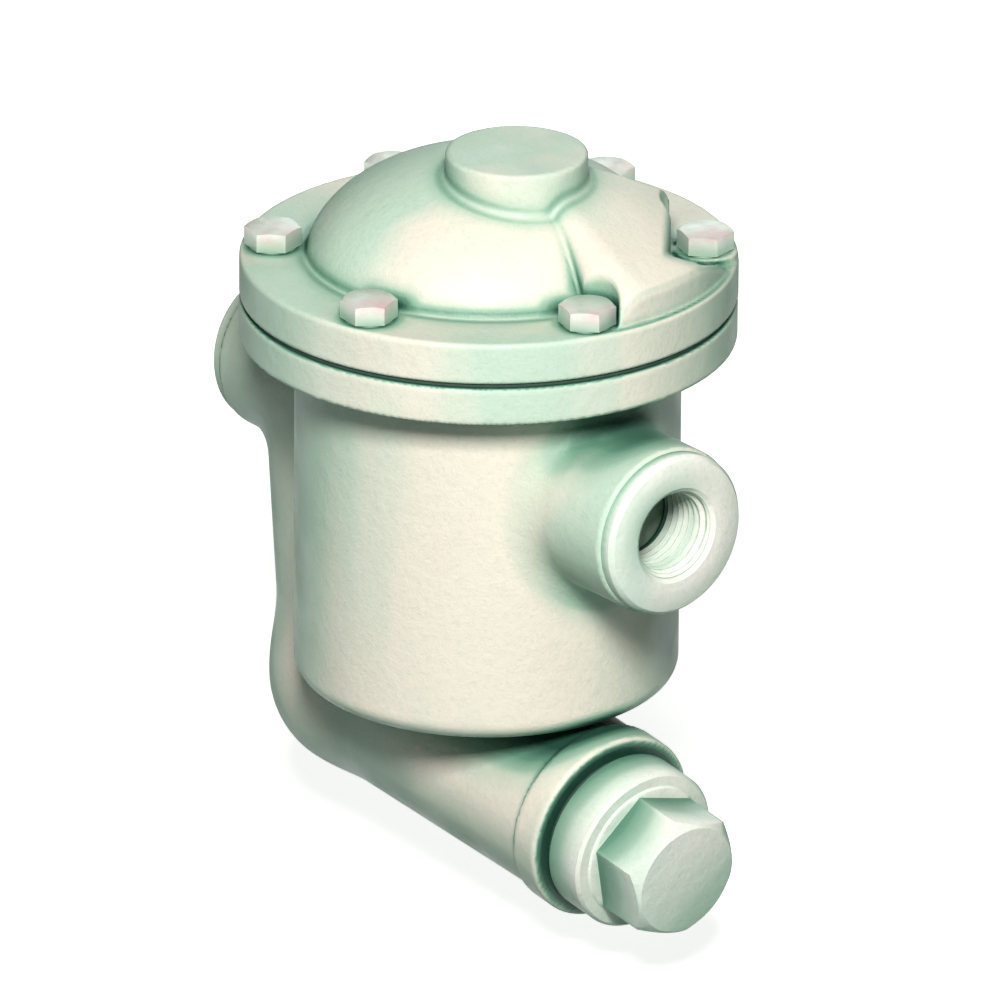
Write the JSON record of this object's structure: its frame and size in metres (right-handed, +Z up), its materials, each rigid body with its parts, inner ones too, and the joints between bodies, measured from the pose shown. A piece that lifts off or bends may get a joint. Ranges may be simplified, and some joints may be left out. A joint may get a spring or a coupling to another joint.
{
  "type": "steam trap with strainer",
  "caption": "Inverted-bucket steam trap body with a bolted domed cap, screwed side ports and an integral strainer leg closed by a hexagon cap.",
  "frame": {"origin": "centre of the inlet port's face, on the pipe's centre line", "axes": "+X along the pipe from the inlet to the outlet, +Z up towards the cap, +Y across"},
  "size_m": [0.1943, 0.143, 0.2227],
  "materials": {
    "painted_casting": "pale sage enamel over cast iron, satin, slightly mottled",
    "bolt_steel": "pale plated steel with a thin wash of the casting's paint",
    "gasket": "dark compressed sheet",
    "stainless": "drawn and machined stainless steel"
  },
  "bodies": {
    "root": {"body": "painted_casting", "cap": "painted_casting", "cap_gasket": "gasket", "cap_bolt_1": "bolt_steel", "cap_bolt_2": "bolt_steel", "cap_bolt_3": "bolt_steel", "cap_bolt_4": "bolt_steel", "cap_bolt_5": "bolt_steel", "cap_bolt_6": "bolt_steel", "valve_seat": "stainless", "guide_pin_1": "stainless", "guide_pin_2": "stainless", "inlet_tube": "stainless"},
    "lever_assembly": {"lever": "stainless", "valve_head": "stainless", "valve_retainer": "stainless"},
    "bucket_assembly": {"bucket": "stainless", "bucket_clip": "stainless"},
    "screen": {"strainer_screen": "stainless"},
    "gasket_ring": {"strainer_gasket": "gasket"},
    "strainer_plug": {"strainer_cap": "painted_casting"}
  },
  "joints": [
    {"name": "lever_swing", "type": "hinge", "parent": "root", "child": "lever_assembly", "pos_m": [0.1295, 0, 0.05005], "axis": [0, 1, 0], "range_deg": [0, 12]},
    {"name": "bucket_travel", "type": "slide", "parent": "root", "child": "bucket_assembly", "axis": [0, 0, 1], "range_m": [0, 0.0062]},
    {"name": "strainer_withdraw", "type": "slide", "parent": "root", "child": "screen", "axis": [0.9914, 0, -0.1305], "range_m": [0, 0.095]},
    {"name": "strainer_cap_travel", "type": "slide", "parent": "screen", "child": "gasket_ring", "axis": [0.9914, 0, -0.1305], "range_m": [0, 0.0111]},
    {"name": "strainer_cap_turn", "type": "hinge", "parent": "gasket_ring", "child": "strainer_plug", "pos_m": [0.1475, 0, -0.0988], "axis": [0.9914, 0, -0.1305], "range_deg": [0, 1800]}
  ],
  "couplings": [
    {"joint": "lever_swing", "follows": "bucket_travel", "rad_per_m": 33.333},
    {"joint": "strainer_cap_travel", "follows": "strainer_cap_turn", "m_per_rad": 0.00035152}
  ]
}
